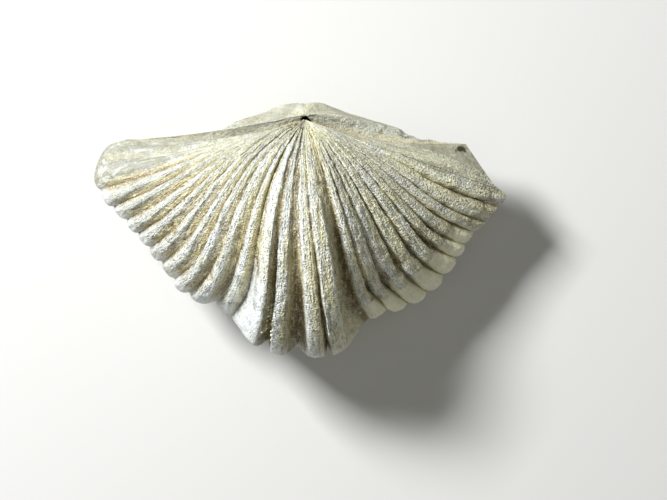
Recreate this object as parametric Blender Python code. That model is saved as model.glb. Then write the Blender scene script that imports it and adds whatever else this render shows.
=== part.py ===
"""A ribbed, wide-hinged brachiopod fossil: two closed valves lying on the pedicle valve.

Each valve is a closed ball pulled into shape: its upper pole is the beak, its rings run down the ribbed
outside to the rim and then inwards over the face where the two valves meet, and its other pole is the
middle of that face. Run with: blender --background --python part.py
"""

import math

import bmesh
import bpy
import numpy as np

MM = 0.001

# Plan of the rim, from the left hinge end round the front to the right hinge end, measured from the
# brachial beak: x to the right and y towards the beaks in millimetres, then the angle from straight ahead at
# which the line from the beak sets out, and how far it turns forwards near its end, both in degrees.
# The crests of the ribs sit on the points from FIRST_RIB to LAST_RIB.
RIM = (
    (-16.40, -1.65, -79.0, 0.0),
    (-18.40, -2.50, -79.0, 0.0),
    (-19.45, -5.20, -79.0, 0.0),
    (-18.46, -7.45, -79.0, -0.3),
    (-17.31, -8.60, -78.9, -0.4),
    (-16.16, -9.95, -78.6, -0.6),
    (-15.11, -11.10, -78.0, -0.8),
    (-14.06, -12.50, -74.0, -1.2),
    (-12.91, -13.90, -70.0, -1.8),
    (-11.81, -15.50, -62.0, -2.3),
    (-9.95, -16.70, -54.0, -2.4),
    (-7.60, -17.50, -42.0, -1.8),
    (-4.90, -20.40, -29.0, -0.6),
    (-2.15, -21.55, -15.5, 0.0),
    (1.30, -21.70, -4.0, 0.0),
    (3.80, -20.90, 8.0, 1.0),
    (6.65, -18.10, 29.0, 2.0),
    (8.66, -17.50, 40.0, 2.8),
    (10.65, -16.60, 48.0, 2.8),
    (12.33, -15.24, 57.0, 2.8),
    (13.68, -13.50, 66.0, 2.8),
    (14.63, -12.00, 71.0, 2.8),
    (15.23, -10.80, 73.0, 2.6),
    (16.31, -9.72, 75.0, 2.4),
    (17.22, -8.65, 76.0, 2.0),
    (18.50, -6.95, 77.0, 1.0),
    (17.25, -5.60, 78.0, 0.0),
    (14.80, -2.10, 80.5, 0.0),
)
FIRST_RIB, LAST_RIB = 3, 25
FOLD_LEFT, FOLD_RIGHT = 12, 15
# Grooves that lie off the middle between two ribs, and a crest that lies off its own point of the rim.
GROOVE_AT = {10: 0.65, FOLD_LEFT - 1: 0.25, 13: 0.42, 14: 0.30, FOLD_RIGHT: 0.82}
CREST_AT = {FOLD_RIGHT: -0.52}
# The ribs fade out over these stretches beside the smooth ears.
RIBS_BEGIN, RIBS_END = (FIRST_RIB - 0.9, FIRST_RIB - 0.1), (LAST_RIB, LAST_RIB + 0.7)

# Height of the rim at the hinge, its drop in front and the lift of the raised fold there.
HINGE_Z = 9.0 * MM
COMMISSURE_SAG = 1.4 * MM
FOLD_RISE = 4.2 * MM
FOLD_START = 1.6
FOLD_EDGE = 0.15
# Angles from straight ahead at which the valves stop swelling on the left and on the right, in degrees, and
# how evenly they swell.
LEFT_SPREAD, RIGHT_SPREAD = 84.3, 82.0
SWELL_POWER = 0.8
# Share of a rib's length from the beak at which it has turned furthest forwards.
FLARE_PEAK = 0.8
# Lines from the beak turn in ahead between these angles, in degrees.
TURN_IN = (10.0, 20.0)
# How far the ears' ridges reach in along the rim, and how much flatter the umbo is behind them.
LEFT_EAR, RIGHT_EAR = 6.0, 23.0
LEFT_FLATTER, RIGHT_FLATTER = 0.9, 0.2
# The umbo stands out by this share more straight behind, and how narrow that point is.
UMBO_POINT, POINT_POWER = 0.12, 4

# Groove depth as a share of the ribs' spacing, and how sharply the groove is cut.
RIB_DEPTH = 0.40
WIDEST_PITCH = 2.5 * MM
GROOVE_POWER = 1.5
# From this share of the way to the rim the ribs turn into the rim's zigzag.
RIM_BLEND = 0.80
SCALLOP_OUT, SCALLOP_UP = 0.45, 0.8
FOLD_SCALLOP_OUT = 1.1
# The notch at the left foot of the fold is nearly filled.
FOLD_FOOT, FOOT_WIDTH, FOOT_FILLED = 11.4, 0.35, 0.85

VALVE_GAP = 0.36 * MM
# Places along the hinge that get a line of corners, beside those of the delthyrium.
HINGE_PLACES = (4.5 * MM, 8.0 * MM, 12.0 * MM)
DELTHYRIUM_HALF_WIDTH = 1.5 * MM
DELTHYRIUM_WALL = 0.2 * MM
DELTHYRIUM_SLOPE = 0.4
# Lines down the hinge area within this distance of the middle run straight from the beak.
STRAIGHT_MIDDLE = 4.5 * MM

# A bite broken out of the pedicle valve's back edge, to the right of the umbo.
CHIP_SHARE = 0.4
CHIP_FROM, CHIP_TO = (8.6 * MM, 9.6 * MM), (12.5 * MM, 15.5 * MM)
# Middle of the face where the valves meet. The zigzag dies away quickly from the rim towards it.
FACE_CENTRE = np.array((0.0, -9.0, 8.4)) * MM
ZIGZAG_FADE = 6
# The belly that the fossil lies on is worn flat by this much.
WORN_OFF = 0.6 * MM
BEAK_PLACE = np.array((0.475 * MM, 10.01 * MM, -WORN_OFF))

# Steps used to find the surface's direction, the distance to the beak kept in doing so, and the rim's.
SMALL_STEP, OFF_BEAK, RIM_STEP = 1e-3, 0.03, 0.3
NEARLY_NOTHING = 1e-9
OUTSIDE_RINGS = 17
FACE_RINGS = (0.92, 0.75, 0.4)
SHARP_EDGE = 50.0
ROUGHNESS = 0.62

VALVES = {
    "brachial_valve": {
        "beak": np.array((0.0, 0.0, 10.8)) * MM,
        "side": 1.0,
        "near": 11.0 * MM,
        "far": 13.0 * MM,
        "end_lift": 1.0,
        "run": (0.04, 0.92),
        "bulge": 0.0,
        "ridge_turn": (6.0, -10.0),
        "notch": np.array((0.0, -1.6, 0.0)) * MM,
        "smooth_umbo": 0.02,
        "colour": (0.74, 0.73, 0.65, 1.0),
    },
    "pedicle_valve": {
        "beak": np.array((0.0, 0.55, 9.9)) * MM,
        "side": -1.0,
        "near": 3.6 * MM,
        "far": 17.5 * MM,
        "end_lift": -0.7,
        "run": (0.03, 0.80),
        "bulge": 6.5 * MM,
        "ridge_turn": (0.0, 0.0),
        "notch": np.array((0.0, 0.0, -2.0)) * MM,
        "smooth_umbo": 0.4,
        "colour": (0.66, 0.64, 0.55, 1.0),
    },
}


def smoothstep(low, high, x):
    x = np.clip((x - low) / (high - low), 0.0, 1.0)
    return x * x * (3.0 - 2.0 * x)


def bezier(a, b, c, d, t):
    """A cubic Bezier curve's value at t."""
    return a * (1 - t) ** 3 + 3 * b * t * (1 - t) ** 2 + 3 * c * t**2 * (1 - t) + d * t**3


def through(values, s):
    """A smooth curve through the values, which lie at s = 0, 1, 2 and so on."""
    values = np.asarray(values, float)
    padded = np.concatenate(([2 * values[0] - values[1]], values, [2 * values[-1] - values[-2]]))
    i = np.clip(np.floor(s).astype(int), 0, len(values) - 2)
    f = s - i
    p0, p1, p2, p3 = (padded[i + k] for k in range(4))
    return 0.5 * (
        2 * p1 + (p2 - p0) * f + (2 * p0 - 5 * p1 + 4 * p2 - p3) * f**2 + (3 * p1 - p0 - 3 * p2 + p3) * f**3
    )


RIM_X, RIM_Y = (np.array([p[i] for p in RIM]) * MM for i in (0, 1))
RIM_START, RIM_FLARE = (np.radians([p[i] for p in RIM]) for i in (2, 3))
PITCH = np.hypot(np.diff(RIM_X), np.diff(RIM_Y))
# Crests and grooves by turns along the rim, beginning and ending on a crest.
CRESTS = [i + CREST_AT.get(i, 0.0) for i in range(len(RIM))]
GROOVES = [i + GROOVE_AT.get(i, 0.5) for i in range(len(RIM) - 1)]
RIB_PLACES = np.sort(CRESTS + GROOVES)


def rim_plan(s):
    """Plan place of the rim at s, and the angle of the straight line to it from the beak."""
    x, y = through(RIM_X, s), through(RIM_Y, s)
    return x, y, np.arctan2(x, -y)


def openness(angle):
    """0 along the hinge and 1 straight ahead: how far the valve swells in that direction."""
    quarter = np.where(angle < 0, 90.0 / LEFT_SPREAD, 90.0 / RIGHT_SPREAD)
    return np.cos(np.clip(angle * quarter, -np.pi / 2, np.pi / 2)) ** SWELL_POWER


def flare_shape(run):
    """How far a rib has turned towards the front before its end spreads out again: 0, then 1, then 0."""
    rise = FLARE_PEAK / (1 - FLARE_PEAK)
    return (run / FLARE_PEAK) ** rise * (1 - run) / (1 - FLARE_PEAK)


def fold_shape(s):
    """1 on the raised fold in the middle of the front and 0 beside it."""
    left = FOLD_LEFT - 1 + GROOVE_AT[FOLD_LEFT - 1]
    right = FOLD_RIGHT + GROOVE_AT[FOLD_RIGHT]
    return smoothstep(left, FOLD_LEFT + FOLD_EDGE, s) * (1 - smoothstep(FOLD_RIGHT - FOLD_EDGE, right, s))


def rib_phase(s):
    """0 on a rib's crest and 1 in the bottom of the groove beside it."""
    return np.interp(s, RIB_PLACES, np.arange(len(RIB_PLACES)) % 2)


def rib_depth(s):
    """Depth of the grooves at the rim, nothing on the smooth ears."""
    pitch = through(np.minimum(PITCH, WIDEST_PITCH), np.clip(s - 0.5, 0, len(PITCH) - 1))
    return RIB_DEPTH * pitch * smoothstep(*RIBS_BEGIN, s) * (1 - smoothstep(*RIBS_END, s))


def smooth_valve(valve, s, t):
    """The valve's outside without its ribs. s runs along the rim and t from the beak to the rim."""
    x_rim, y_rim, end = rim_plan(s)
    length = np.hypot(x_rim, y_rim)
    opened = openness(end)
    run = bezier(0.0, valve["run"][0], valve["run"][1], 1.0, t)
    left_ear, right_ear = 1 - smoothstep(0.0, LEFT_EAR, s), smoothstep(RIGHT_EAR, len(RIM) - 1.0, s)
    left_turn, right_turn = np.radians(valve["ridge_turn"])
    start = through(RIM_START, s) + left_turn * left_ear + right_turn * right_ear
    bend = 2 - left_ear - right_ear + 2 * smoothstep(*np.radians(TURN_IN), end) * (1 - right_ear)
    angle = end + (start - end) * (1 - run) ** bend - through(RIM_FLARE, s) * flare_shape(run)
    bulge = bezier(0.0, valve["bulge"], 0.0, 0.0, t)
    bulge = bulge * (1 - LEFT_FLATTER * left_ear) * (1 - RIGHT_FLATTER * right_ear)
    umbo = 1 + UMBO_POINT * np.cos(angle) ** POINT_POWER
    x = (length * run + bulge) * np.sin(angle) + valve["beak"][0] * (1 - run)
    y = (bulge * umbo - length * run) * np.cos(angle) + valve["beak"][1] * (1 - run)
    beak_z = valve["beak"][2]
    rim_z = HINGE_Z - COMMISSURE_SAG * opened
    near = beak_z + (rim_z - beak_z) / 3 + valve["side"] * valve["near"] * opened
    far = rim_z + valve["end_lift"] * (beak_z - rim_z) / 3 + valve["side"] * valve["far"] * opened
    z = bezier(beak_z, near, far, rim_z, t) + FOLD_RISE * fold_shape(s) * t**FOLD_START
    return np.stack(np.broadcast_arrays(x, y, z), axis=-1)


def outward(valve, s, t):
    """The unit vector out of the smooth valve."""
    t = np.clip(t, OFF_BEAK, 1 - SMALL_STEP)
    along = smooth_valve(valve, s + SMALL_STEP, t) - smooth_valve(valve, s - SMALL_STEP, t)
    down = smooth_valve(valve, s, t + SMALL_STEP) - smooth_valve(valve, s, t - SMALL_STEP)
    normal = np.cross(down, along) * valve["side"]
    return normal / np.linalg.norm(normal, axis=-1, keepdims=True)


def zigzag(s):
    """How the rim is moved in the bottom of a brachial groove: in from the crests, and down."""
    x_step, y_step = (through(c, s + RIM_STEP) - through(c, s - RIM_STEP) for c in (RIM_X, RIM_Y))
    size = np.hypot(x_step, y_step)
    out = SCALLOP_OUT + (FOLD_SCALLOP_OUT - SCALLOP_OUT) * fold_shape(s)
    out *= 1 - FOOT_FILLED * np.exp(-(((s - FOLD_FOOT) / FOOT_WIDTH) ** 2))
    depth = rib_depth(s)
    return np.stack((-out * depth * y_step / size, out * depth * x_step / size, -SCALLOP_UP * depth), axis=-1)


def ribbed_valve(valve, s, t):
    """The valve's outside with its ribs, which grow from the beak to the rim and end in the zigzag rim."""
    smooth = smooth_valve(valve, s, t)
    phase = rib_phase(s)
    groove = (phase if valve["side"] > 0 else 1 - phase) ** GROOVE_POWER
    reach = np.linalg.norm(smooth - valve["beak"], axis=-1)
    grown = reach / np.linalg.norm(smooth_valve(valve, s, np.ones_like(t)) - valve["beak"], axis=-1)
    grown = np.clip(grown, 0, 1) * smoothstep(0.0, valve["smooth_umbo"], t)
    inwards = -(groove * rib_depth(s) * grown)[..., None] * outward(valve, s, t)
    at_rim = (0.5 - 0.5 * np.cos(np.pi * phase))[..., None] * zigzag(s)
    blend = smoothstep(RIM_BLEND, 1.0, t)[..., None]
    return smooth + inwards * (1 - blend) + at_rim * blend


def rim_steps():
    """The places along the rim that get a column of corners: four to a rib, two to an ear's stretch."""
    first, last = 2 * FIRST_RIB - 1, 2 * LAST_RIB + 1
    turns = np.concatenate((np.arange(first), np.arange(first, last, 0.5), np.arange(last, len(RIB_PLACES))))
    return np.interp(turns, np.arange(len(RIB_PLACES)), RIB_PLACES)


def hinge_places():
    """Places across the hinge from right to left, and which of them are sunk into the delthyrium."""
    floor = DELTHYRIUM_HALF_WIDTH - DELTHYRIUM_WALL
    half = np.array((floor, DELTHYRIUM_HALF_WIDTH, *HINGE_PLACES))
    across = np.concatenate((half[::-1], (0.0,), -half))[:, None]
    return across, np.abs(across) <= floor


def hinge_area(right, left, across, t):
    """The area between the right and the left ridge, which fans out from the beak to the hinge."""
    narrowest = np.minimum(right[:, 0] / RIM_X[-1], left[:, 0] / RIM_X[0])
    aimed = across * (t + (narrowest - t) * smoothstep(0.0, STRAIGHT_MIDDLE, np.abs(across)))
    width = np.maximum(right[:, 0] - left[:, 0], NEARLY_NOTHING)
    return right + (left - right) * ((right[:, 0] - aimed) / width)[..., None]


def outside(valve):
    """Corners of the valve's outside, column by column, each from the beak to the rim or the hinge."""
    t = np.linspace(0, 1, OUTSIDE_RINGS + 1)
    s_grid, t_grid = np.meshgrid(rim_steps(), t, indexing="ij")
    ribbed = ribbed_valve(valve, s_grid, t_grid) + half_gap(valve) * t[:, None]
    across, sunk = hinge_places()
    area = hinge_area(ribbed[-1], ribbed[0], across, t)
    area += valve["notch"] * (sunk * smoothstep(0.0, DELTHYRIUM_SLOPE, t))[..., None]
    return np.concatenate((ribbed, area))


def half_gap(valve):
    """How far the valve's rim and meeting face stand back from those of the other valve."""
    return np.array((0.0, 0.0, valve["side"] * VALVE_GAP / 2))


def chipped(shape):
    """Take the bite out of the back edge, down towards the hinge."""
    x, y = shape[..., 0], shape[..., 1]
    within = smoothstep(*CHIP_FROM, x) * (1 - smoothstep(*CHIP_TO, x))
    shape[..., 1] -= CHIP_SHARE * within * np.maximum(y - RIM_Y[-1], 0.0)
    return shape


def valve_corners(valve):
    """Every corner of the valve as [column, ring], from the beak over the outside to the meeting face."""
    shape = outside(valve)
    if valve["side"] < 0:
        shape[:, 1:-1] = chipped(shape[:, 1:-1])
    rim, centre = shape[:, -1], FACE_CENTRE + half_gap(valve)
    even_rim = rim.copy()
    ribs = len(rim_steps())
    even_rim[:ribs] = smooth_valve(valve, rim_steps(), np.ones(ribs)) + half_gap(valve)
    rings = []
    for share in FACE_RINGS:
        edge = even_rim + (rim - even_rim) * share**ZIGZAG_FADE
        rings.append(centre + (edge - centre) * share)
    rings.append(np.broadcast_to(centre, rim.shape))
    shape = np.concatenate((shape, np.stack(rings, axis=1)), axis=1) + BEAK_PLACE
    shape[..., 2] = np.maximum(shape[..., 2], 0.0)
    return shape


def add_valve(name, valve, collection):
    """A ball with a column of corners for each place on the rim and hinge, pulled into the valve's shape."""
    corners = valve_corners(valve)
    columns, rings = corners.shape[0], corners.shape[1] - 1
    ball = bmesh.new()
    bmesh.ops.create_uvsphere(ball, u_segments=columns, v_segments=rings, radius=1.0)
    bmesh.ops.triangulate(ball, faces=ball.faces[:], quad_method="FIXED")
    for corner in ball.verts:
        ring = round(math.acos(max(-1.0, min(1.0, corner.co.z))) / math.pi * rings)
        column = round(math.atan2(corner.co.y, corner.co.x) / math.tau * columns) % columns
        corner.co = corners[column, ring]
    if valve["side"] < 0:
        bmesh.ops.reverse_faces(ball, faces=ball.faces)
    mesh = bpy.data.meshes.new(name)
    ball.to_mesh(mesh)
    ball.free()
    mesh.shade_smooth()
    mesh.set_sharp_from_angle(angle=math.radians(SHARP_EDGE))
    mesh.materials.append(fossil_material(name, valve["colour"]))
    collection.objects.link(bpy.data.objects.new(name, mesh))


def fossil_material(name, colour):
    material = bpy.data.materials.new(name + "_stone")
    material.use_nodes = True
    shader = material.node_tree.nodes["Principled BSDF"]
    shader.inputs["Base Color"].default_value = colour
    shader.inputs["Roughness"].default_value = ROUGHNESS
    shader.inputs["Metallic"].default_value = 0.0
    return material


def main():
    for thing in list(bpy.data.objects):
        bpy.data.objects.remove(thing)
    collection = bpy.data.collections.new("brachiopod_fossil")
    bpy.context.scene.collection.children.link(collection)
    for name, valve in VALVES.items():
        add_valve(name, valve, collection)


main()
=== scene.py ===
"""Brachiopod fossil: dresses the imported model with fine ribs, growth steps, sediment and worn calcite.

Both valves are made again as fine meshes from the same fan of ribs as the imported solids, which they
replace. Lengths in the tables are in millimetres and everything in the scene is in metres.
"""

import math

import bmesh
import bpy
import numpy as np
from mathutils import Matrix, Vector


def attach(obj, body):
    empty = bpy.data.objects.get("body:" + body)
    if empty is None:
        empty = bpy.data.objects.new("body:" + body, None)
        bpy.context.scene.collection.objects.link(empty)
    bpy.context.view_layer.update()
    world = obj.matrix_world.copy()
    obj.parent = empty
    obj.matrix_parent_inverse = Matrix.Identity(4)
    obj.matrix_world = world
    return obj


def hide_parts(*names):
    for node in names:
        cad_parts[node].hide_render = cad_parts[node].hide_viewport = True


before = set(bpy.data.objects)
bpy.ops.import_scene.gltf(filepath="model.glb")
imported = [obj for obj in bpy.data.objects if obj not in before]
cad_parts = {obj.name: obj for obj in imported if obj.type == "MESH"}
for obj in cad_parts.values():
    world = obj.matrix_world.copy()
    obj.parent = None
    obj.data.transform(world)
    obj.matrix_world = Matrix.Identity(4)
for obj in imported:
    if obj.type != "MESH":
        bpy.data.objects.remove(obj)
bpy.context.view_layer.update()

bl_info = {
    "name": "Brachiopod Fossil",
    "version": (1, 0, 0),
    "blender": (4, 5, 0),
    "location": "3D View > Sidebar > Fossil",
    "description": "A ribbed, wide-hinged brachiopod fossil with a raised fold and sediment in its grooves",
    "category": "Object",
}

MM = 0.001

# ---- The form of the shell -----------------------------------------------------------------------------

# Plan of the rim, from the left hinge end round the front to the right hinge end, measured from the
# brachial beak: x to the right and y towards the beaks in millimetres, then the angle from straight ahead at
# which the line from the beak sets out, and how far it turns forwards near its end, both in degrees.
# The crests of the ribs sit on the points from FIRST_RIB to LAST_RIB.
RIM = (
    (-16.40, -1.65, -79.0, 0.0),
    (-18.40, -2.50, -79.0, 0.0),
    (-19.45, -5.20, -79.0, 0.0),
    (-18.46, -7.45, -79.0, -0.3),
    (-17.31, -8.60, -78.9, -0.4),
    (-16.16, -9.95, -78.6, -0.6),
    (-15.11, -11.10, -78.0, -0.8),
    (-14.06, -12.50, -74.0, -1.2),
    (-12.91, -13.90, -70.0, -1.8),
    (-11.81, -15.50, -62.0, -2.3),
    (-9.95, -16.70, -54.0, -2.4),
    (-7.60, -17.50, -42.0, -1.8),
    (-4.90, -20.40, -29.0, -0.6),
    (-2.15, -21.55, -15.5, 0.0),
    (1.30, -21.70, -4.0, 0.0),
    (3.80, -20.90, 8.0, 1.0),
    (6.65, -18.10, 29.0, 2.0),
    (8.66, -17.50, 40.0, 2.8),
    (10.65, -16.60, 48.0, 2.8),
    (12.33, -15.24, 57.0, 2.8),
    (13.68, -13.50, 66.0, 2.8),
    (14.63, -12.00, 71.0, 2.8),
    (15.23, -10.80, 73.0, 2.6),
    (16.31, -9.72, 75.0, 2.4),
    (17.22, -8.65, 76.0, 2.0),
    (18.50, -6.95, 77.0, 1.0),
    (17.25, -5.60, 78.0, 0.0),
    (14.80, -2.10, 80.5, 0.0),
)
FIRST_RIB, LAST_RIB = 3, 25
FOLD_LEFT, FOLD_RIGHT = 12, 15
# The grooves that lie off the middle between two ribs, and the crests that lie off their own places.
GROOVE_AT = {10: 0.65, FOLD_LEFT - 1: 0.25, FOLD_LEFT: 0.42, 13: 0.38, 14: 0.38, FOLD_RIGHT: 0.82}
CREST_AT = {13: -0.18, 14: 0.06, FOLD_RIGHT: -0.46}

# Stretches along the rim: where the ribs come in from the left ear and die away on the right one, and
# where the fold passes into the right ribs.
RIBS_BEGIN, RIBS_END = (FIRST_RIB - 0.9, FIRST_RIB - 0.1), (LAST_RIB, LAST_RIB + 0.7)
BESIDE_FOLD, RIGHT_RIBS = (15.6, 17.0), (15.9, 17.0)

# The seam: height at the hinge, how far it sags towards the front, and the middle of the meeting faces.
HINGE_Z = 9.0 * MM
COMMISSURE_SAG = 1.4 * MM
FACE_CENTRE = np.array((0.0, -9.0, 8.4)) * MM
# The shell is lowered by what has been worn off its underside, which is flat where it meets the ground.
WORN_OFF = 0.6
BEAK_PLACE = np.array((0.475, 10.01, -WORN_OFF)) * MM
# Angles in degrees from straight ahead at which the valves stop swelling, and how square the swelling is.
LEFT_SPREAD, RIGHT_SPREAD, SWELL = 84.3, 82.0, 0.8
# To the right of the fold the brachial valve slopes more gently to its rim.
GENTLE_FROM, GENTLE_RUN, GENTLE_SWELL = (15.8, 18.5), 0.14, 0.30
# The umbo's overhang behind the beak, and how much broader it is on its left and right.
UMBO_POINT, UMBO_BREADTH = 0.12, (0.9, 1.1)
# The ears: how far they reach along the rim, and how much flatter the umbo is behind them.
LEFT_EAR, RIGHT_EAR = 6.0, 23.0
LEFT_FLATTER, RIGHT_FLATTER = 0.9, 0.2
# The fold: how late it rises from the beak to the rim, and how far its edge spreads over its outer ribs.
FOLD_START, FOLD_EDGE = 1.6, 0.15
# Brings the highest value of the ribs' turn to 1.
FLARE_HEIGHT = 12.2
# Between these angles from straight ahead the right ribs' bend moves towards the beak.
MORE_BENT = np.radians((10.0, 20.0))

# Ribs: widest spacing that counts for their depth, extra depth all over and on the fold, and how much
# narrower than the crests the grooves are: everywhere, to the right of the fold and near the beak.
WIDEST_PITCH = 2.5 * MM
DEEPER, FOLD_DEEPER = 1.12, 0.75
GROOVE_NARROWING, RIGHT_NARROWER, BEAK_NARROWER, NEAR_BEAK = 2.2, 1.9, 1.6, (0.15, 0.6)
# The profile of a groove stops here, before it levels out, and so its floor keeps a slight edge.
FLOOR_EDGE = 1.12
# A shallow groove on the fold: place, width and share filled. The fold's grooves are filled near the beak
# as well, and the grooves near the right ear are deeper.
THIN_GROOVE, THIN_WIDTH, THIN_FILLED = 14.38, 0.2, 0.5
FOLD_FILLED, FILLED_TO_RIGHT, FILLED_UNTIL = 0.45, (FOLD_RIGHT, 17.0), (0.3, 0.6)
EAR_DEEPER, EAR_DEEPER_FROM = 0.6, (19.5, 22.0)
# How far the left ribs have narrow crests with a steep lower flank and a flat floor below it.
STEPPED, STEPPED_UNTIL, STEPPED_FROM = 0.8, (10.5, 11.5), (0.35, 0.6)
# Faint ribs on the ears: height as a share of the reach from the beak, and where they start and thin out.
EAR_RIBS, EAR_RIBS_START, EAR_RIBS_END, EAR_RIBS_THIN = 0.034, (0.1, 0.7), (26.0, 26.7), (0.55, 0.9)

# The zigzag rim: where the ribs pass into it, how blunt its tips are, and how far it is moved in and up
# as shares of the ribs' depth, more on the fold and less at the fold's left foot and near the right ear.
RIM_BLEND, BLUNT_TIP = 0.80, 2.0
SCALLOP_OUT, SCALLOP_UP, FOLD_SCALLOP_OUT = 0.45, 0.8, 1.1
FOLD_FOOT, FOOT_WIDTH, FOOT_FILLED = 11.4, 0.35, 0.85
TIP_RIBS, TIP_FILLED = (21.5, 23.5), 0.7

# The notch for the stalk at the beak, and the middle of the hinge area, whose columns run straight.
DELTHYRIUM_HALF_WIDTH, DELTHYRIUM_EDGE, DELTHYRIUM_DEEP = 1.4 * MM, (0.8, 1.15), (0.0, 0.12)
STRAIGHT_MIDDLE = 4.5 * MM
# Columns between each back ridge and the hinge area, and the ridges' rounding: how often it is done, over
# which columns on either side it fades, and where it stops short of the rim.
SHOULDER_COLUMNS = 9
SOFTENING_ROUNDS, SOFTENED_COLUMNS, SOFTENED_UNTIL = 50, (4.0, 15.0), (0.90, 0.98)
# The break in the back edge near its right end: share taken off, where it starts and ends, how ragged its
# ends are, and how uneven its edge is: height, waves to a millimetre and roughness.
CHIP_SHARE, CHIP_RAGGED, CHIP_WAVES = 0.4, 0.25 * MM, (0.25, 3.1, 0.3)
CHIP_FROM, CHIP_TO = (8.6 * MM, 9.6 * MM), (12.5 * MM, 15.5 * MM)

# Each valve: its beak, which way is out, how high its curve leaves the beak and reaches the rim, and how
# the ribs run, bulge behind the beak and turn along the ridges. The ribs start past smooth_umbo.
BRACHIAL = {
    "node": "brachial_valve",
    "beak": np.array((0.0, 0.0, 10.8)) * MM,
    "side": 1.0,
    "near": 11.0 * MM,
    "far": 13.0 * MM,
    "end_lift": 1.0,
    "notch": np.array((0.0, -1.6, 0.0)) * MM,
    "run": (0.04, 0.92),
    "bulge": 0.0,
    "ridge_turn": (6.0, -10.0),
    "smooth_umbo": 0.02,
    "gentle": 1.0,
}
PEDICLE = {
    "node": "pedicle_valve",
    "beak": np.array((0.0, 0.55, 9.9)) * MM,
    "side": -1.0,
    "near": 3.6 * MM,
    "far": 17.5 * MM,
    "end_lift": -0.7,
    "notch": np.array((0.0, 0.0, -2.0)) * MM,
    "run": (0.03, 0.80),
    "bulge": 6.5 * MM,
    "ridge_turn": (0.0, 0.0),
    "smooth_umbo": 0.4,
    "gentle": 0.0,
}

# Edges that turn by more than this are shaded sharp.
SHARP_FROM = math.radians(70)
# Columns to a rib, to a stretch of ear and along the hinge, and rows from beak to rim and over the face.
RIB_COLUMNS, EAR_COLUMNS, HINGE_COLUMNS = 16, 18, 90
OUTSIDE_ROWS = 166
FACE_ROWS = (0.97, 0.9, 0.7, 0.35)
# Points on each back ridge that the strip of paler shell follows.
RIDGE_POINTS = 40
# The hinge area's crystals are laid out across it from this number on, clear of the ribs' own.
AREA_FAN = 60.0


def smoothstep(low, high, x):
    """0 below low and 1 above high."""
    x = np.clip((x - low) / (high - low), 0.0, 1.0)
    return x * x * (3.0 - 2.0 * x)


def fading(start, end, x):
    """1 before start and 0 after end."""
    return 1 - smoothstep(start, end, x)


def stripe(start, end, x, edge=0.03):
    """1 from start to end, with soft edges."""
    return smoothstep(start - edge, start + edge, x) * fading(end - edge, end + edge, x)


def bump(centre, width, x):
    """1 at the centre, dying away on either side."""
    return np.exp(-(((x - centre) / width) ** 2))


def bezier(a, b, c, d, t):
    """A cubic Bezier curve's value at t."""
    return a * (1 - t) ** 3 + 3 * b * t * (1 - t) ** 2 + 3 * c * t**2 * (1 - t) + d * t**3


def through(values, s):
    """A smooth curve through the values, which lie at s = 0, 1, 2 and so on."""
    values = np.asarray(values, float)
    padded = np.concatenate(([2 * values[0] - values[1]], values, [2 * values[-1] - values[-2]]))
    i = np.clip(np.floor(s).astype(int), 0, len(values) - 2)
    f = s - i
    p0, p1, p2, p3 = (padded[i + k] for k in range(4))
    return 0.5 * (
        2 * p1 + (p2 - p0) * f + (2 * p0 - 5 * p1 + 4 * p2 - p3) * f**2 + (3 * p1 - p0 - 3 * p2 + p3) * f**3
    )


def roughness(points, size, seed):
    """Smooth noise between -1 and 1 whose bumps are about as wide as size."""
    lattice = np.random.default_rng(seed).uniform(-1.0, 1.0, (32, 32, 32))
    place = points / size
    cell = np.floor(place).astype(int)
    f = place - cell
    f = f * f * (3.0 - 2.0 * f)
    total = np.zeros(points.shape[:-1])
    for corner in np.ndindex(2, 2, 2):
        weight = np.prod([f[..., k] if corner[k] else 1 - f[..., k] for k in range(3)], axis=0)
        i, j, k = ((cell[..., axis] + corner[axis]) % 32 for axis in range(3))
        total += weight * lattice[i, j, k]
    return total


RIM_X, RIM_Y = (np.array([p[i] for p in RIM]) * MM for i in (0, 1))
RIM_START, RIM_FLARE = (np.radians([p[i] for p in RIM]) for i in (2, 3))
PITCH = np.hypot(np.diff(RIM_X), np.diff(RIM_Y))


def rim_plan(s):
    """Plan place of the rim at s, and the angle of the straight line to it from the beak."""
    x, y = through(RIM_X, s), through(RIM_Y, s)
    return x, y, np.arctan2(x, -y)


def openness(angle):
    """0 along the hinge and 1 straight ahead: how far the valve swells in that direction."""
    quarter = np.where(angle < 0, 90.0 / LEFT_SPREAD, 90.0 / RIGHT_SPREAD)
    return np.cos(np.clip(angle * quarter, -np.pi / 2, np.pi / 2)) ** SWELL


def flare_shape(run):
    """How far a rib has turned towards the front before its end spreads out again: 0, then 1, then 0."""
    return FLARE_HEIGHT * run**4 * (1 - run)


def fold_shape(s):
    """1 on the raised fold in the middle of the front and 0 beside it."""
    left = FOLD_LEFT - 1 + GROOVE_AT[FOLD_LEFT - 1]
    right = FOLD_RIGHT + GROOVE_AT[FOLD_RIGHT]
    return smoothstep(left, FOLD_LEFT + FOLD_EDGE, s) * fading(FOLD_RIGHT - FOLD_EDGE, right, s)


CRESTS = [i + CREST_AT.get(i, 0.0) for i in range(len(RIM))]
GROOVES = [i + GROOVE_AT.get(i, 0.5) for i in range(len(RIM) - 1)]


def rib_phase(s):
    """0 on a rib's crest and 1 in the bottom of the groove beside it."""
    places = sorted(CRESTS + GROOVES)
    return np.interp(s, places, [0.0 if place in CRESTS else 1.0 for place in places])


def right_of_crest(s):
    """Whether s is on a rib's right flank."""
    places = np.array(sorted(CRESTS + GROOVES))
    return np.searchsorted(places, s, side="right") % 2 == 1


def rib_depth(s, depth):
    """Depth of the grooves at the rim, nothing on the smooth ears."""
    pitch = through(np.minimum(PITCH, WIDEST_PITCH), np.clip(s - 0.5, 0, len(PITCH) - 1))
    return depth * pitch * (smoothstep(*RIBS_BEGIN, s) * fading(*RIBS_END, s))


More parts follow.
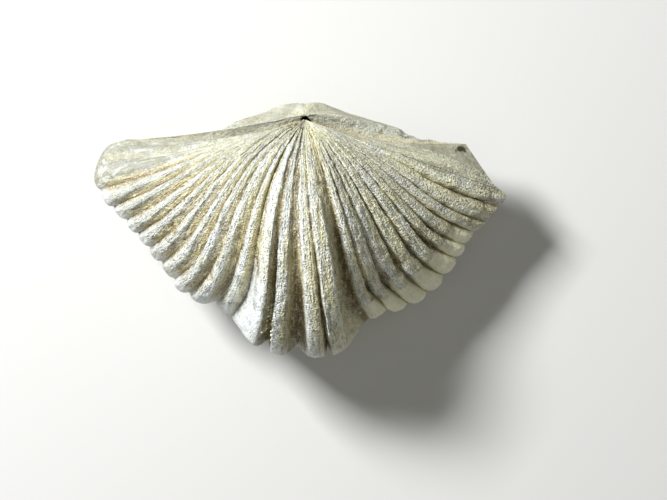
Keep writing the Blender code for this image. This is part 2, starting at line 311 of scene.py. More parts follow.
def smooth_valve(valve, sizes, s, t):
    """The valve's outside without its ribs. s runs along the rim and t from the beak to the rim."""
    x_rim, y_rim, end = rim_plan(s)
    length = np.hypot(x_rim, y_rim)
    opened = openness(end)
    gentle = valve["gentle"] * smoothstep(*GENTLE_FROM, s)
    run = bezier(0.0, valve["run"][0], valve["run"][1] - GENTLE_RUN * gentle, 1.0, t)
    left_ridge, right_ridge = fading(0.0, LEFT_EAR, s), smoothstep(RIGHT_EAR, len(RIM) - 1.0, s)
    turn = valve["ridge_turn"][0] * left_ridge + valve["ridge_turn"][1] * right_ridge
    start = through(RIM_START, s) + np.radians(turn)
    bend = 2 - left_ridge - right_ridge + 2 * smoothstep(*MORE_BENT, end) * (1 - right_ridge)
    angle = end + (start - end) * (1 - run) ** bend - through(RIM_FLARE, s) * flare_shape(run)
    bulge = valve["bulge"] * 3 * t * (1 - t) ** 2
    bulge = bulge * (1 - LEFT_FLATTER * left_ridge) * (1 - RIGHT_FLATTER * right_ridge)
    broad = np.where(angle < 0, *UMBO_BREADTH) * np.sin(angle) ** 2
    umbo = 1 + (UMBO_POINT + broad) * np.cos(angle) ** 4
    x = (length * run + bulge) * np.sin(angle) + valve["beak"][0] * (1 - run)
    y = (bulge * umbo - length * run) * np.cos(angle) + valve["beak"][1] * (1 - run)
    beak_z = valve["beak"][2]
    rim_z = HINGE_Z - COMMISSURE_SAG * opened
    near = beak_z + (rim_z - beak_z) / 3 + valve["side"] * valve["near"] * opened
    far = valve["side"] * valve["far"] * opened * (1 - GENTLE_SWELL * gentle)
    far = far + rim_z + valve["end_lift"] * (beak_z - rim_z) / 3
    z = bezier(beak_z, near, far, rim_z, t) + sizes.fold_rise * fold_shape(s) * t**FOLD_START
    return np.stack(np.broadcast_arrays(x, y, z), axis=-1)


def outward(valve, sizes, s, t):
    """The unit vector out of the smooth valve."""
    e = 1e-3
    t = np.clip(t, 0.03, 1 - e)
    along = smooth_valve(valve, sizes, s + e, t) - smooth_valve(valve, sizes, s - e, t)
    down = smooth_valve(valve, sizes, s, t + e) - smooth_valve(valve, sizes, s, t - e)
    normal = np.cross(down, along) * valve["side"]
    return normal / np.linalg.norm(normal, axis=-1, keepdims=True)


def ear_ribs(s, t):
    """Height of the faint ribs on the ears as a share of the reach, dying away towards the ears' ends."""
    on_ear = np.maximum(fading(*RIBS_BEGIN, s), smoothstep(*RIBS_END, s))
    off_hinge = smoothstep(*EAR_RIBS_START, s) * fading(*EAR_RIBS_END, s)
    return EAR_RIBS * on_ear * off_hinge * (1 - 0.7 * smoothstep(*EAR_RIBS_THIN, t))


def zigzag(sizes, s):
    """How the rim is moved in the bottom of a brachial groove: in from the crests, and down."""
    x_step, y_step = (through(c, s + 0.3) - through(c, s - 0.3) for c in (RIM_X, RIM_Y))
    size = np.hypot(x_step, y_step)
    out = SCALLOP_OUT + (FOLD_SCALLOP_OUT - SCALLOP_OUT) * fold_shape(s)
    out *= 1 - FOOT_FILLED * bump(FOLD_FOOT, FOOT_WIDTH, s)
    out *= 1 - TIP_FILLED * smoothstep(*TIP_RIBS, s)
    depth = rib_depth(s, sizes.rib_depth)
    return np.stack((-out * depth * y_step / size, out * depth * x_step / size, -SCALLOP_UP * depth), axis=-1)


def own_phase(valve, s):
    """The rib phase counted from the valve's own crests: one valve's crests meet the other's grooves."""
    phase = rib_phase(s)
    return phase if valve["side"] > 0 else 1 - phase


def groove_profile(valve, s, t):
    """0 on a rib's round crest and 1 in its narrower groove.

    On the brachial valve's fold each rib's top slopes to the right, and its left ribs are stepped.
    """
    phase = own_phase(valve, s)
    narrowing = GROOVE_NARROWING + RIGHT_NARROWER * smoothstep(*BESIDE_FOLD, s)
    narrowing = narrowing + BEAK_NARROWER * fading(*NEAR_BEAK, t)
    even = smoothstep(0.0, FLOOR_EDGE, phase**narrowing) / smoothstep(0.0, FLOOR_EDGE, 1.0)
    if valve["side"] < 0:
        return even
    right = right_of_crest(s)
    slope = 0.28 * phase + 0.72 * smoothstep(0.46, 0.68, phase)
    slanted = np.where(right, slope, smoothstep(0.48, 0.74, phase))
    steep = 0.75 * smoothstep(0.10, 0.55, phase) + 0.25 * smoothstep(0.3, 1.0, phase)
    stepped = np.where(right, steep, smoothstep(0.30, 1.0, phase))
    even = even + (stepped - even) * STEPPED * fading(*STEPPED_UNTIL, s) * smoothstep(*STEPPED_FROM, t)
    return even + (slanted - even) * fold_shape(s)


def past_umbo(valve, t):
    """0 on the valve's smooth umbo and 1 where its ribs have come in."""
    return smoothstep(valve["smooth_umbo"] * 0.4, valve["smooth_umbo"], t)


def groove_depth(valve, sizes, s, t, reach):
    """How deep the grooves are, growing from the beak to the rim."""
    grown = reach * rib_depth(s, sizes.rib_depth) * past_umbo(valve, t)
    grown *= DEEPER + FOLD_DEEPER * fold_shape(s) * smoothstep(0.3, 0.7, t)
    grown *= 1 - THIN_FILLED * bump(THIN_GROOVE, THIN_WIDTH, s)
    grown *= 1 + EAR_DEEPER * smoothstep(*EAR_DEEPER_FROM, s)
    filled = FOLD_FILLED * smoothstep(FOLD_LEFT - 1, FOLD_LEFT, s) * fading(*FILLED_TO_RIGHT, s)
    return grown * (1 - filled * fading(*FILLED_UNTIL, t))


def ribbed_valve(valve, sizes, s, t):
    """The valve's outside with its ribs, which grow from the beak to the rim and end in the zigzag rim."""
    smooth = smooth_valve(valve, sizes, s, t)
    reach = np.linalg.norm(smooth - valve["beak"], axis=-1)
    whole = np.linalg.norm(smooth_valve(valve, sizes, s, np.ones_like(t)) - valve["beak"], axis=-1)
    depth = groove_depth(valve, sizes, s, t, np.clip(reach / whole, 0, 1)) + ear_ribs(s, t) * reach
    inwards = -(groove_profile(valve, s, t) * depth)[..., None] * outward(valve, sizes, s, t)
    at_rim = smoothstep(0.0, 1.0, rib_phase(s) ** BLUNT_TIP)[..., None] * zigzag(sizes, s)
    blend = smoothstep(RIM_BLEND, 1.0, t)[..., None]
    return smooth + inwards * (1 - blend) + at_rim * blend


def rim_steps():
    """The places along the rim that get a column of corners."""
    last = len(RIM) - 1
    first, end = FIRST_RIB - 0.5, LAST_RIB + 0.5
    left = np.linspace(0, first, round(first * EAR_COLUMNS), endpoint=False)
    ribs = np.linspace(first, end, round((end - first) * RIB_COLUMNS), endpoint=False)
    right = np.linspace(end, last, round((last - end) * EAR_COLUMNS))
    return np.concatenate((left, ribs, right))


def hinge_places():
    """Places across the hinge from right to left, and how far each is sunk into the delthyrium."""
    across = np.linspace(RIM_X[-1], RIM_X[0], HINGE_COLUMNS + 2)[1:-1, None]
    return across, fading(*DELTHYRIUM_EDGE, np.abs(across) / DELTHYRIUM_HALF_WIDTH)


def hinge_area(right, left, across, t):
    """The area between the right and the left ridge, which fans out from the beak to the hinge."""
    narrowest = np.minimum(right[:, 0] / RIM_X[-1], left[:, 0] / RIM_X[0])
    aimed = across * (t + (narrowest - t) * smoothstep(0.0, STRAIGHT_MIDDLE, np.abs(across)))
    width = np.maximum(right[:, 0] - left[:, 0], 1e-9)
    return right + (left - right) * ((right[:, 0] - aimed) / width)[..., None]


# ---- Wear, growth steps, deposits, and painted highlights and shade on the shell -----------------------

# Where the shell paused in growing: share of the way to the rim, depth of the step and how far it fades.
GROWTH_STEPS = ((0.42, 0.03, 0.10), (0.62, 0.04, 0.10), (0.76, 0.05, 0.08), (0.91, 0.08, 0.08))
# The steps come later on the crests than in the grooves, and run unevenly.
CREST_LATER, WOBBLE, FINE_WOBBLE = 0.012, 0.012, 0.005
# The ends of the right ribs are smooth blocks that begin with a step down and then swell again: where they
# start, the step's depth, how far it fades and where the swelling comes in; then the ribs that have them.
BLOCK_START, BLOCK_STEP, BLOCK_FADE, BLOCK_SWELL = 0.865, 0.26 * MM, 0.06, (0.05, 0.09)
BLOCKS_FROM, BLOCKS_UNTIL = (14.8, 16.5), (22.0, 23.5)
# Thin ribs to a turn of the rim on the right ear, and where along the rim they start and end.
THIN_RIBS, THIN_RIBS_START, THIN_RIBS_END = 4, (24.9, 25.3), (26.7, 26.95)
# A flake has come off the right ear above this line, with a dark pit beside it, in millimetres from the beak.
FLAKE_X, FLAKE_Y = (8.5, 10.5, 12.5, 13.5, 15.0, 16.2, 17.5), (-1.9, -2.5, -3.0, -3.4, -3.85, -4.4, -5.3)
PIT_AT, PIT_SIZE = (14.3, -2.6), (0.55, 0.32)
# The plate of clean shell on the left rib of the fold: from and to along the rim, and its upper edge.
PLATE_FROM, PLATE_TO, PLATE_TOP, PLATE_EDGE = 11.25, 12.1, 0.66, 0.006
# Brownish stripes of painted shade, partly the shell's own brown, down the right flanks and tops of the
# fold's ribs and in the crease beside it: from and to along the rim, and strength.
FOLD_PAINTED_SHADE = (
    (12.16, 12.44, 0.78),
    (12.96, 13.14, 0.55),
    (13.98, 14.12, 0.55),
    (14.72, 14.90, 0.42),
    (15.68, 15.84, 0.85),
)
# The fainter ridge down the right flank of the fold's last rib: place along the rim, width and height.
SECOND_RIDGE, SECOND_WIDTH, SECOND_HEIGHT = 15.12, 0.14, 0.28
# Painted highlights in thin lines down the lit edges of the crests, from and to along the rim.
HIGHLIGHT_LINES = ((12.56, 12.80), (13.62, 13.74), (14.47, 14.62), (15.06, 15.13), (15.88, 16.02))
# Brown spots: place along the rim, share of the way to the rim, radius in millimetres and strength.
BROWN_SPOTS = (
    (6.45, 0.78, 0.55, 1.0),
    (8.5, 0.62, 0.5, 1.0),
    (9.6, 0.8, 0.6, 1.0),
    (16.5, 0.86, 0.6, 1.0),
    (17.5, 0.8, 0.7, 1.0),
    (18.5, 0.8, 0.6, 1.0),
    (23.4, 0.93, 0.8, 0.35),
    (24.5, 0.94, 1.1, 0.45),
)
# Noise over the shell: width of its bumps and seed. Streaks, fibres and crystals are drawn out along the
# ribs: how many to a rib and how many from the beak to the rim.
BROAD, MIDDLE, SMALL, PITTED = (3.5 * MM, 1), (1.2 * MM, 2), (0.5 * MM, 3), (0.5 * MM, 9)
FINE, RAGGED = (0.25 * MM, 6), (0.22 * MM, 10)
STREAKS_DRAWN, FIBRES_DRAWN, CRYSTALS_DRAWN = (3.0, 9.0), (8.0, 50.0), (7.0, 26.0)
# Sediment on the left ribs, how much more there is on the right ones, and between which places across. The
# cover's growth to the right also paints shade on the side away from the light.
SEDIMENT_LEAST, SEDIMENT_MORE, SEDIMENT_ACROSS = -0.35, 0.85, (-9.0, 6.0)
# The strip behind the back ridges: where it ends in millimetres, how faint it is on the left, and between
# which places across it grows. The brown band behind the beak, partly stain and partly painted shadow along
# the ridge beside the delthyrium: strength, and where it ends.
STRIP_END, STRIP_LEFT, STRIP_ACROSS = (0.30, 0.62), 0.45, (-6.0, 3.0)
STAIN_AND_SHADE, STAIN_BEHIND, STAIN_BESIDE = 0.40, (0.20, 0.5), (1.2, 3.2)
# Sediment above the clean plate: between which shares of the way to the rim and until which place along it,
# and the width of the painted shadow just above the plate's edge.
ABOVE_PLATE, ABOVE_PLATE_UNTIL, PLATE_SHADOW_WIDTH = (0.40, 0.55), (11.6, 11.9), 0.09
# Smooth shell: the left ear passes into the ribs, the right ribs grow smoother, and tips are worn smooth.
EAR_TO_RIBS, SMOOTHER_RIBS, TIPS_FROM, TIPS_UNTIL = (2.5, 6.5), (20.5, 23.0), (0.90, 0.94), (15.0, 16.0)
LEFT_EAR_GRAINY, RIGHT_EAR_GRAINY = (2.0, 3.0), (25.0, 25.5)
# The hollows between the right ribs: from which share of the way to the rim and until which place along it.
HOLLOWS_FROM, HOLLOWS_UNTIL = (0.68, 0.82), (20.8, 22.5)
# Heights and depths of the wear in millimetres.
LUMPS, PIMPLES, CRYSTALS, FINE_GRAIN, SWELLS = 0.05, 0.05, 0.06, 0.05, 0.12
PLATE_HEIGHT, BROWN_DEPTH, HOLLOW_DEPTH, SEDIMENT_HEIGHT, SEDIMENT_GRAIN = 0.10, 0.12, 0.20, 0.03, 0.05
FLAKE_DEPTH, HOLE_DEPTH, THIN_RIB_DEPTH, CREST_WEAR, WORN_ALL_OVER = 0.28, 0.3, 0.20, 0.2, 0.02
# The valves' thickness in millimetres from which they are thick enough to be chipped, and where the wear
# stops short of the beak and the rim.
THICK_ENOUGH, OFF_BEAK, OFF_RIM = (0.3, 1.2), (0.0, 0.03), (0.975, 1.0)
# The masks that the corners carry, besides their places along the rim and towards it.
MASKS = ("dark", "ochre", "smooth", "plate", "brown", "block", "strip")
MASKS += ("line", "groove", "flake", "silver", "black")


def drawn_grain(seed, s, t, drawn, layer):
    """Smooth noise drawn out along the ribs."""
    return roughness(np.stack(np.broadcast_arrays(s * drawn[0], t * drawn[1], layer), axis=-1), 1.0, seed)


def block_ribs(s):
    """1 on the right ribs that end in smooth blocks."""
    return smoothstep(*BLOCKS_FROM, s) * fading(*BLOCKS_UNTIL, s)


def growth_relief(s, t, wobble):
    """How far the surface lies below the last growth step, in metres."""
    shift = wobble + CREST_LATER * (1 - rib_phase(s))
    relief = np.zeros_like(t)
    for place, depth, fade in GROWTH_STEPS:
        past = t - (place + shift)
        relief += depth * MM * smoothstep(0.0, 0.010, past) * (1 - np.clip(past / fade, 0, 1))
    past = t - (BLOCK_START + shift)
    drop = smoothstep(0.0, 0.012, past) * (1 - np.clip(past / BLOCK_FADE, 0, 1))
    drop -= 0.5 * smoothstep(*BLOCK_SWELL, past)
    return relief + BLOCK_STEP * drop * block_ribs(s)


def strongest(*masks):
    """The strongest of the masks at each corner."""
    return np.maximum.reduce(np.broadcast_arrays(*masks))


def grid_normals(points):
    """Unit normals of a grid of points whose columns close on themselves."""
    across = np.roll(points, -1, axis=0) - np.roll(points, 1, axis=0)
    down = np.gradient(points, axis=1)
    normal = np.cross(down, across)
    return normal / np.maximum(np.linalg.norm(normal, axis=-1, keepdims=True), 1e-12)


class FineValve:
    """A valve's fine grid of corners [column, row] and the masks that its material reads."""

    def __init__(self, valve, sizes):
        self.valve, self.sizes, self.brachial = valve, sizes, valve["side"] > 0
        self.build_outside()
        self.mark()
        self.weather()
        self.close_face()

    def half_gap(self):
        """How far the valve is lifted off the middle of the seam."""
        return np.array((0.0, 0.0, self.valve["side"] * self.sizes.seam_gap / 2))

    def build_outside(self):
        """Lays out the ribbed outside and the hinge area as one ring of columns."""
        rows = np.linspace(0, 1, OUTSIDE_ROWS + 1)
        s, t = np.meshgrid(rim_steps(), rows, indexing="ij")
        ribbed = ribbed_valve(self.valve, self.sizes, s, t) + self.half_gap() * rows[:, None]
        across, sunk = hinge_places()
        area = hinge_area(ribbed[-1], ribbed[0], across, rows)
        pit = sunk * smoothstep(*DELTHYRIUM_DEEP, rows)
        area += self.valve["notch"] * pit[..., None]
        self.ribs = s.shape[0]
        right = self.shoulder(ribbed[-1], area[0])
        left = self.shoulder(area[-1], ribbed[0])
        area = np.concatenate((right, area, left))
        pit = np.concatenate((np.zeros(right.shape[:2]), pit, np.zeros(left.shape[:2])))
        self.points = np.concatenate((ribbed, area))
        flat = np.zeros(area.shape[:2])
        self.s = np.concatenate((s, flat))
        self.t = np.concatenate((t, flat + rows))
        self.pit = np.concatenate((np.zeros_like(s), pit))
        self.on_area = np.concatenate((np.zeros_like(s), flat + 1.0))
        self.on_ribs = 1 - self.on_area
        self.soften_ridges()

    def shoulder(self, start, end):
        """Columns that lead from one edge to the other."""
        share = np.linspace(0, 1, SHOULDER_COLUMNS + 2)[1:-1, None, None]
        return start + (end - start) * share

    def soften_ridges(self):
        """Rounds off the ridges between the outside and the hinge area, but not at the beak and the rim."""
        place, half = np.arange(len(self.points)), len(self.points) // 2
        steps = [np.abs((place - ridge + half) % len(place) - half) for ridge in (0, self.ribs - 1)]
        near = fading(*SOFTENED_COLUMNS, np.minimum(*steps))[:, None]
        near = near * smoothstep(*OFF_BEAK, self.t) * fading(*SOFTENED_UNTIL, self.t)
        for _ in range(SOFTENING_ROUNDS):
            between = 0.5 * (np.roll(self.points, 1, axis=0) + np.roll(self.points, -1, axis=0))
            self.points += 0.5 * near[..., None] * (between - self.points)

    def mark(self):
        """Makes the masks, each from 0 to 1, that say where the shell is clean, stained, worn or dark, and
        where highlights and shade are painted.
        """
        points, s, t = self.points, self.s, self.t
        self.x, self.y = points[..., 0] / MM, points[..., 1] / MM
        self.phase, self.right = own_phase(self.valve, s), right_of_crest(s)
        self.ribbed = self.on_ribs * smoothstep(0.0, 0.3, rib_depth(s, 1.0) / WIDEST_PITCH)
        self.ribbed *= past_umbo(self.valve, t)
        self.groove = self.ribbed * groove_profile(self.valve, s, t) * smoothstep(0.02, 0.12, t)
        self.broad, self.middle, self.small = (roughness(points, *noise) for noise in (BROAD, MIDDLE, SMALL))
        self.streak = drawn_grain(4, s, t, STREAKS_DRAWN, 0.0)
        self.fibre = drawn_grain(5, s, t, FIBRES_DRAWN, 0.5)
        self.mark_sediment()
        self.mark_hinge()
        self.mark_plate()
        self.mark_smooth()
        self.mark_breaks()
        self.mark_stains()
        self.mark_dark()
        self.mark_lines()
        self.mark_silver_and_highlights()
        self.plate = strongest(self.plate, 0.7 * self.tips)

    def mark_sediment(self):
        """Ochre sediment: more of it to the right, on right flanks and on the floors of the left grooves. The
        heavier cover on those flanks and floors, which lie in shade, and on the side away from the light is
        partly painted shade.
        """
        cover = SEDIMENT_LEAST + SEDIMENT_MORE * smoothstep(*SEDIMENT_ACROSS, self.x)
        # Painted shade in part: more cover on the shaded right flanks and left-groove floors, less on the lit
        # left flanks.
        flank_shade = np.where(self.right, 0.8 * self.phase - 0.15, -0.1 - 0.3 * self.phase)
        floor = 1.2 * smoothstep(0.2, 0.6, self.phase) - 0.3
        flank_shade = np.where(self.right & (self.s < FOLD_LEFT - 0.7), floor, flank_shade)
        broken = 0.25 * self.broad + 0.3 * self.middle + 0.6 * self.streak + 0.5 * self.fibre
        self.ochre = smoothstep(-0.3, 0.7, cover + flank_shade + broken) * (1 - 0.6 * self.on_area)

    def mark_hinge(self):
        """The strip along the back ridges, and the brown band behind the beak: partly stain, partly painted
        shadow along the ridge beside the delthyrium.
        """
        left = smooth_valve(BRACHIAL, self.sizes, np.zeros(RIDGE_POINTS), np.linspace(1, 0, RIDGE_POINTS))
        right = np.full(RIDGE_POINTS, len(RIM) - 1.0)
        right = smooth_valve(BRACHIAL, self.sizes, right, np.linspace(0, 1, RIDGE_POINTS))
        ridge = np.concatenate((left, right)) / MM
        behind = self.y - np.interp(self.x, ridge[:, 0], ridge[:, 1])
        if self.brachial:
            self.strip = self.on_area * 0.6
        else:
            strip = fading(*STRIP_END, behind + 0.15 * self.middle)
            strip *= STRIP_LEFT + (1 - STRIP_LEFT) * smoothstep(*STRIP_ACROSS, self.x)
            self.strip = strip * strongest(self.on_area, fading(1.0, 2.0, self.s))
        # Brown band behind the beak: partly stain, partly painted shadow along the ridge beside the
        # delthyrium.
        stained = fading(*STAIN_BEHIND, behind) * fading(*STAIN_BESIDE, np.abs(self.x))
        self.brown = STAIN_AND_SHADE * self.on_area * stained

    def mark_plate(self):
        """The plate of clean shell on the fold's left rib, with sediment above its broken upper edge."""
        s, t = self.s, self.t
        plate = smoothstep(PLATE_FROM - 0.05, PLATE_FROM + 0.05, s) * fading(PLATE_TO, PLATE_TO + 0.08, s)
        plate *= self.brachial
        top = PLATE_TOP + 0.02 * self.small + 0.04 * (s - PLATE_FROM)
        below = smoothstep(top - PLATE_EDGE, top + PLATE_EDGE, t)
        self.plate = plate * below
        self.above = plate * smoothstep(*ABOVE_PLATE, t) * (1 - below) * fading(*ABOVE_PLATE_UNTIL, s)
        self.ochre = strongest(self.ochre, 0.62 * self.above)
        # Painted shadow in a band just above the plate's upper edge.
        self.undercut_shadow = self.above * smoothstep(top - PLATE_SHADOW_WIDTH, top, t)

    def mark_smooth(self):
        """Where the shell is smooth and not crystalline: ends of ribs, the ears, the beaks and the hinge."""
        s, t = self.s, self.t
        past = t - BLOCK_START - WOBBLE * self.middle
        self.block = self.ribbed * smoothstep(0.0, 0.02, past) * block_ribs(s)
        finer = self.ribbed * (0.45 + 0.55 * smoothstep(*EAR_TO_RIBS, s))
        finer *= 1 - 0.3 * smoothstep(*SMOOTHER_RIBS, s)
        self.tips = self.ribbed * smoothstep(*TIPS_FROM, t + 0.02 * self.middle)
        self.tips *= (1 - 0.5 * smoothstep(11.5, 12.5, s)) * fading(*TIPS_UNTIL, s)
        mottled = 0.12 * self.on_area
        if not self.brachial:
            mottled = mottled + 0.25 * smoothstep(-0.2, 0.4, self.broad + self.middle)
        plain = (0.95 - mottled) * (1 - finer)
        self.smooth = strongest(plain, self.block, 0.45 * self.plate, 0.8 * self.tips)

    def mark_breaks(self):
        """The grainy backs of the ears, the flake gone from the right ear and the pit beside it, with painted
        shade at the bottoms of that pit and of the delthyrium.
        """
        s, x, y, middle, small = self.s, self.x, self.y, self.middle, self.small
        self.flake = np.zeros_like(s)
        if self.brachial:
            on_right = smoothstep(*RIGHT_EAR_GRAINY, s)
            grainy = fading(*LEFT_EAR_GRAINY, s) * fading(0.35, 0.7, self.t + 0.1 * middle) + on_right
            self.smooth *= 1 - (0.8 - 0.4 * on_right) * self.on_ribs * grainy
            edge = y - np.interp(x, FLAKE_X, FLAKE_Y) + 0.12 * middle + 0.08 * small
            self.flake = smoothstep(-0.05, 0.05, edge) * smoothstep(8.5, 11.0, x + 0.3 * small)
            self.smooth = strongest(self.smooth, self.flake)
        away = np.hypot((x - PIT_AT[0]) / PIT_SIZE[0], (y - PIT_AT[1]) / PIT_SIZE[1])
        away += 0.25 * small + 0.6 * roughness(self.points, *RAGGED)
        self.hole = fading(0.7, 1.2, away)
        # Painted shade at the bottoms of the pit and the delthyrium.
        self.black = strongest(self.pit, self.hole)

    def mark_stains(self):
        """Brown spots, and hollows that are worn into the grooves between the right ribs."""
        for place, share, radius, strength in BROWN_SPOTS:
            spot = smooth_valve(self.valve, self.sizes, np.array([place]), np.array([share]))
            away = np.linalg.norm(self.points - spot, axis=-1) / (radius * MM)
            self.brown = strongest(self.brown, strength * fading(0.3, 1.2, away + 0.5 * self.small))
        hollow = smoothstep(*HOLLOWS_FROM, self.t) * (1 - self.block) * self.ribbed
        hollow *= smoothstep(0.45, 0.80, self.phase + 0.15 * self.middle)
        hollow *= smoothstep(*BESIDE_FOLD, self.s) * fading(*HOLLOWS_UNTIL, self.s)
        self.hollow = hollow * smoothstep(-0.5, 0.4, self.broad)

    def mark_dark(self):
        """Dark sediment and painted shade in the grooves and hollows, darker towards the rim; dark spots on
        the hinge area; painted shadow under the strip's ledge on the flake and just above the clean plate;
        painted shade at the bottoms of the pits and in brownish stripes down the ribs of the fold; and on the
        pedicle valve painted shade below the fold's grooves.
        """
        s, t = self.s, self.t
        low = smoothstep(0.50, 0.75, t - 0.14 * smoothstep(*BESIDE_FOLD, s)) * smoothstep(11.8, 13.0, s)
        low *= fading(22.0, 25.0, s) * (1 - self.block) * (1 - 0.4 * smoothstep(*RIGHT_RIBS, s))
        # Dark sediment and painted shade in the grooves, darker towards the rim, and in the hollows.
        deep = self.groove ** (2 - 1.2 * low) * np.clip(0.25 + 0.45 * low + 0.25 * self.middle, 0, 1)
        deep = strongest(deep, 0.50 * self.hollow, 0.85 * self.undercut_shadow) * smoothstep(0.25, 0.5, t)
        # Painted shadow on the flake below the ledge of the strip.
        flake_ledge_shadow = 0.42 * self.flake * fading(13.0, 14.2, self.x)
        pits = self.on_area * smoothstep(0.42, 0.62, roughness(self.points, *PITTED))
        pits *= smoothstep(1.0, 3.0, self.x)
        self.dark = strongest(deep, flake_ledge_shadow, self.black, 0.6 * pits)
        if self.brachial:
            # Painted shade in brownish stripes down the ribs of the fold.
            for start, end, strength in FOLD_PAINTED_SHADE:
                shade = stripe(start, end, s) * smoothstep(0.3, 0.6, t) * np.clip(1 + 0.4 * self.streak, 0, 1)
                self.dark = strongest(self.dark, strength * shade * self.on_ribs)
        else:
            # Painted shade on the pedicle valve below the grooves of the fold.
            shade_below_fold = fold_shape(s) * smoothstep(0.86, 0.97, t) * (1 - self.phase)
            self.dark = strongest(self.dark, 0.8 * shade_below_fold)

    def mark_lines(self):
        """Thin dark lines: painted shade down the creases of the grooves, lines and streaks on the right ear,
        and a line round the clean plate.
        """
        s, t, small = self.s, self.t, self.small
        # Painted shade in the grooves near the beak.
        groove_shade_near_beak = self.groove**3 * fading(0.35, 0.65, t) * np.clip(0.6 + 0.4 * small, 0, 1)
        ear = smoothstep(*THIN_RIBS_START, s) * fading(*THIN_RIBS_END, s) * (1 - self.flake) * self.on_ribs
        self.thin = ear * np.sin(THIN_RIBS * np.pi * (s - LAST_RIB)) ** 6 * smoothstep(0.03, 0.2, t)
        thin = 0.5 * self.thin * np.clip(0.8 + 0.5 * self.middle, 0, 1)
        streaks = ear * np.clip(0.22 + 0.45 * self.streak, 0, 0.55)
        # Painted shade in the creases at the bottoms of the grooves.
        crease_shade = self.ribbed * smoothstep(0.82, 0.98, self.phase) * smoothstep(0.25, 0.5, t)
        crease_shade *= fading(0.88, 0.95, t - 0.05 * fold_shape(s))
        crease_shade *= np.clip(0.55 + 0.4 * small + 0.3 * fold_shape(s), 0, 1)
        self.line = strongest(groove_shade_near_beak, thin, streaks, crease_shade, 2.4 * self.plate * (1 - self.plate))

    def mark_silver_and_highlights(self):
        """Painted highlights on the lit flanks of the left ribs, on the lit left edges of the fold's ribs and
        in thin lines down lit crests, with silvery shell in patches on the right ribs.
        """
        s, t, phase, streak = self.s, self.t, self.phase, self.streak
        # Painted highlight on the lit flank of each rib, strongest on the left ribs, with silvery patches on
        # the right ribs, and on the fold on the lit left edges of its ribs.
        upper = np.where(self.right, fading(0.0, 0.25, phase), fading(0.55, 0.9, phase))
        lit = fading(12.0, 15.5, s) * (0.55 + 0.45 * smoothstep(-0.3, 0.4, streak + self.middle))
        patches = 0.6 * smoothstep(0.1, 0.45, self.middle + 0.5 * streak) * smoothstep(*RIGHT_RIBS, s)
        on_fold = fold_shape(s) * smoothstep(0.3, 0.5, t)
        edge = np.where(self.right, 0.0, smoothstep(0.20, 0.32, phase) * fading(0.48, 0.60, phase))
        silver = upper * strongest(lit, patches) * (1 - 0.7 * on_fold) + 1.2 * edge * on_fold
        self.silver = np.clip(silver, 0, 1) * self.ribbed * smoothstep(0.1, 0.3, t) * (1 - 0.9 * self.above)
        for start, end in HIGHLIGHT_LINES:
            line = stripe(start, end, s) * smoothstep(0.25, 0.4, t) * fading(0.85, 0.93, t)
            self.silver = strongest(self.silver, line * np.clip(1.3 + 0.8 * streak, 0, 1.6) * self.ribbed)

    def weather(self):
        """Growth steps, worn crests and grain, all fading out at the rim so that the seam stays shut."""
        s, t, middle, small = self.s, self.t, self.middle, self.small
        rough = 1 - 0.75 * self.smooth
        lumps = LUMPS * middle + PIMPLES * small * (0.35 + 0.65 * rough)
        lumps += CRYSTALS * drawn_grain(7, s, t, CRYSTALS_DRAWN, 0.2) * rough * self.ribbed
        lumps += FINE_GRAIN * roughness(self.points, *FINE) * (0.25 + 0.75 * rough)
        relief = lumps * (1 - 0.6 * smoothstep(19.0, 22.0, s)) + SWELLS * self.broad * (1 - self.ribbed)
        thick = smoothstep(*THICK_ENOUGH, self.valve["side"] * (self.points[..., 2] - HINGE_Z) / MM)
        relief -= (FLAKE_DEPTH * self.flake * smoothstep(11.0, 14.0, self.x) + HOLE_DEPTH * self.hole) * thick
        relief -= THIN_RIB_DEPTH * self.thin * np.clip(t, 0.0, 0.6)
        worn = np.maximum(0.5 * self.streak + 0.3 * middle, 0)
        relief -= CREST_WEAR * worn * (1 - self.groove) ** 4 * self.ribbed
        relief += PLATE_HEIGHT * self.plate - BROWN_DEPTH * self.brown - HOLLOW_DEPTH * self.hollow
        relief += (SEDIMENT_HEIGHT + SEDIMENT_GRAIN * np.abs(small)) * self.ochre * self.ribbed * rough
        if self.brachial:
            ridge = bump(SECOND_RIDGE, SECOND_WIDTH, s) * smoothstep(0.35, 0.7, t) * fading(0.88, 0.98, t)
            relief += SECOND_HEIGHT * ridge * self.on_ribs
        steps = (0.3 + 0.7 * self.ribbed) * growth_relief(s, t, WOBBLE * middle + FINE_WOBBLE * small)
        relief = (relief - WORN_ALL_OVER) * MM - self.on_ribs * steps
        keep = smoothstep(*OFF_BEAK, t) * fading(*OFF_RIM, t)
        out = grid_normals(self.points) * self.valve["side"]
        self.points = self.points + out * (relief * keep)[..., None]
        if not self.brachial:
            self.chip()

    def chip(self):
        """Breaks the back edge near its right end down towards the hinge."""
        x, y = self.points[..., 0], self.points[..., 1]
        ragged = x + CHIP_RAGGED * self.small
        within = smoothstep(*CHIP_FROM, ragged) * fading(*CHIP_TO, ragged)
        inner = smoothstep(0.0, 0.02, self.t) * fading(0.98, 1.0, self.t)
        height, waves, rough = CHIP_WAVES
        steps = 1 + height * np.sin(x / MM * waves) + rough * self.small
        self.points[..., 1] -= CHIP_SHARE * within * inner * steps * np.maximum(y - RIM_Y[-1], 0)

